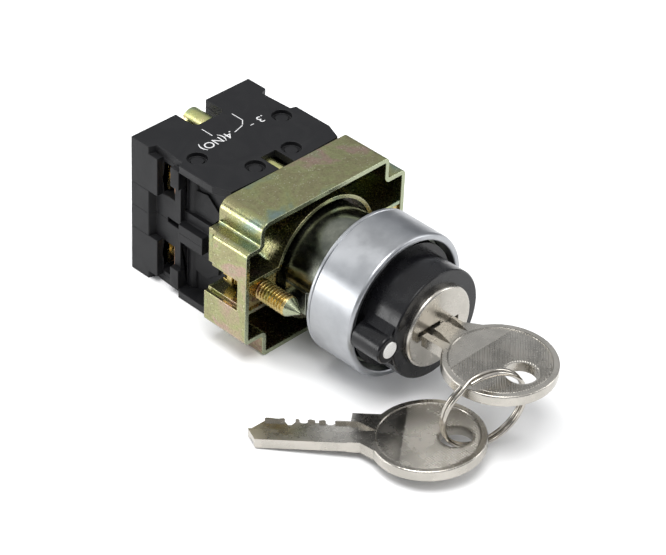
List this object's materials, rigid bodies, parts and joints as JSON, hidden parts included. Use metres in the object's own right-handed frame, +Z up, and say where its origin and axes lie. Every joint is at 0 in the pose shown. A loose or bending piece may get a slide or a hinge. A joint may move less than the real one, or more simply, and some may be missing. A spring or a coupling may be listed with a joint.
{
  "type": "selector key switch",
  "caption": "Keyed rotary selector for a round panel hole: round metal head with inserted key and ring, sheet-metal fixing bracket and two stacked contact blocks.",
  "frame": {"origin": "on the lock axis, in the plane where the bezel seats on the panel", "axes": "+Y along the lock axis from the key to the contact blocks, +Z up as it lies, +X to the right seen from the key"},
  "size_m": [0.0556, 0.0906, 0.03],
  "materials": {
    "satin_chrome": "satin chrome plate",
    "gasket_rubber": "matt",
    "dark_chrome": "bright",
    "cast_zinc": "as cast",
    "spring_steel": "bright wire",
    "passivated_zinc": "yellow passivated",
    "zinc_yellow": "yellow passivated",
    "black_collar": "satin",
    "white_dot": "gloss",
    "nickel": "nickel plated",
    "ring_steel": "nickel plated",
    "brass": "bright",
    "cam_plastic": "moulded",
    "block_plastic": "moulded",
    "white_plastic": "moulded",
    "contact_copper": "copper alloy"
  },
  "bodies": {
    "base": {"bezel_ring": "satin_chrome", "panel_gasket": "gasket_rubber", "head_body": "dark_chrome", "lock_shell": "cast_zinc", "detent_ball": "spring_steel", "detent_spring": "spring_steel", "pusher_guide": "cast_zinc", "guide_clip": "spring_steel", "bracket_frame": "passivated_zinc", "collar_upper": "passivated_zinc", "collar_lower": "passivated_zinc", "head_seat": "cast_zinc", "clamp_nut_left": "zinc_yellow", "clamp_nut_right": "zinc_yellow", "upper_housing": "block_plastic", "upper_cover": "block_plastic", "upper_mounting_stud": "zinc_yellow", "upper_fixed_contact_left": "contact_copper", "upper_fixed_contact_right": "contact_copper", "upper_return_spring": "spring_steel", "lower_housing": "block_plastic", "lower_cover": "block_plastic", "lower_mounting_stud": "zinc_yellow", "lower_fixed_contact_left": "contact_copper", "lower_fixed_contact_right": "contact_copper", "lower_return_spring": "spring_steel"},
    "rotor": {"key_collar": "black_collar", "pointer_insert": "white_dot", "lock_plug": "nickel", "wafer_tumblers": "brass", "wafer_springs": "spring_steel", "switch_cam": "cam_plastic", "cam_screw": "zinc_yellow"},
    "key": {"key_inserted": "nickel"},
    "ring": {"split_ring": "ring_steel"},
    "spare": {"spare_key": "nickel"},
    "clamp_left": {"clamp_screw_left": "zinc_yellow"},
    "clamp_right": {"clamp_screw_right": "zinc_yellow"},
    "upper_plunger_set": {"upper_pusher": "white_plastic", "upper_plunger": "white_plastic", "upper_contact_bridge": "contact_copper"},
    "lower_plunger_set": {"lower_pusher": "white_plastic", "lower_plunger": "white_plastic", "lower_contact_bridge": "contact_copper"},
    "upper_terminal_left": {"upper_terminal_screw_left": "zinc_yellow", "upper_saddle_clamp_left": "brass"},
    "upper_terminal_right": {"upper_terminal_screw_right": "zinc_yellow", "upper_saddle_clamp_right": "brass"},
    "lower_terminal_left": {"lower_terminal_screw_left": "zinc_yellow", "lower_saddle_clamp_left": "brass"},
    "lower_terminal_right": {"lower_terminal_screw_right": "zinc_yellow", "lower_saddle_clamp_right": "brass"}
  },
  "joints": [
    {"name": "key_turn", "type": "hinge", "parent": "base", "child": "rotor", "pos_m": [0, 0, 0], "axis": [0, 1, 0], "range_deg": [-45, 45]},
    {"name": "key_withdraw", "type": "slide", "parent": "rotor", "child": "key", "axis": [0, -1, 0], "range_m": [0, 0.02]},
    {"name": "ring_swing", "type": "hinge", "parent": "key", "child": "ring", "pos_m": [-0.00663, -0.03664, 0], "axis": [0.9568, -0.2906, 0], "range_deg": [-20, 12]},
    {"name": "spare_key_swing", "type": "hinge", "parent": "ring", "child": "spare", "pos_m": [-0.00614, -0.0361, -0.01078], "axis": [0.9546, -0.2932, 0.0527], "range_deg": [-12, 25]},
    {"name": "clamp_left_turn", "type": "slide", "parent": "base", "child": "clamp_left", "axis": [0, 1, 0], "range_m": [0, 0.005]},
    {"name": "clamp_right_turn", "type": "slide", "parent": "base", "child": "clamp_right", "axis": [0, 1, 0], "range_m": [0, 0.005]},
    {"name": "upper_plunger_stroke", "type": "slide", "parent": "base", "child": "upper_plunger_set", "axis": [0, 1, 0], "range_m": [-0.00165, 0.00165], "deforming": ["upper_return_spring"]},
    {"name": "lower_plunger_stroke", "type": "slide", "parent": "base", "child": "lower_plunger_set", "axis": [0, 1, 0], "range_m": [-0.00165, 0.00165], "deforming": ["lower_return_spring"]},
    {"name": "upper_terminal_left_turn", "type": "slide", "parent": "base", "child": "upper_terminal_left", "axis": [0, -1, 0], "range_m": [0, 0.0014]},
    {"name": "upper_terminal_right_turn", "type": "slide", "parent": "base", "child": "upper_terminal_right", "axis": [0, -1, 0], "range_m": [0, 0.0014]},
    {"name": "lower_terminal_left_turn", "type": "slide", "parent": "base", "child": "lower_terminal_left", "axis": [0, -1, 0], "range_m": [0, 0.0014]},
    {"name": "lower_terminal_right_turn", "type": "slide", "parent": "base", "child": "lower_terminal_right", "axis": [0, -1, 0], "range_m": [0, 0.0014]}
  ],
  "couplings": [
    {"joint": "upper_plunger_stroke", "follows": "key_turn", "m_per_rad": -0.0020372},
    {"joint": "lower_plunger_stroke", "follows": "key_turn", "m_per_rad": 0.0020372}
  ]
}
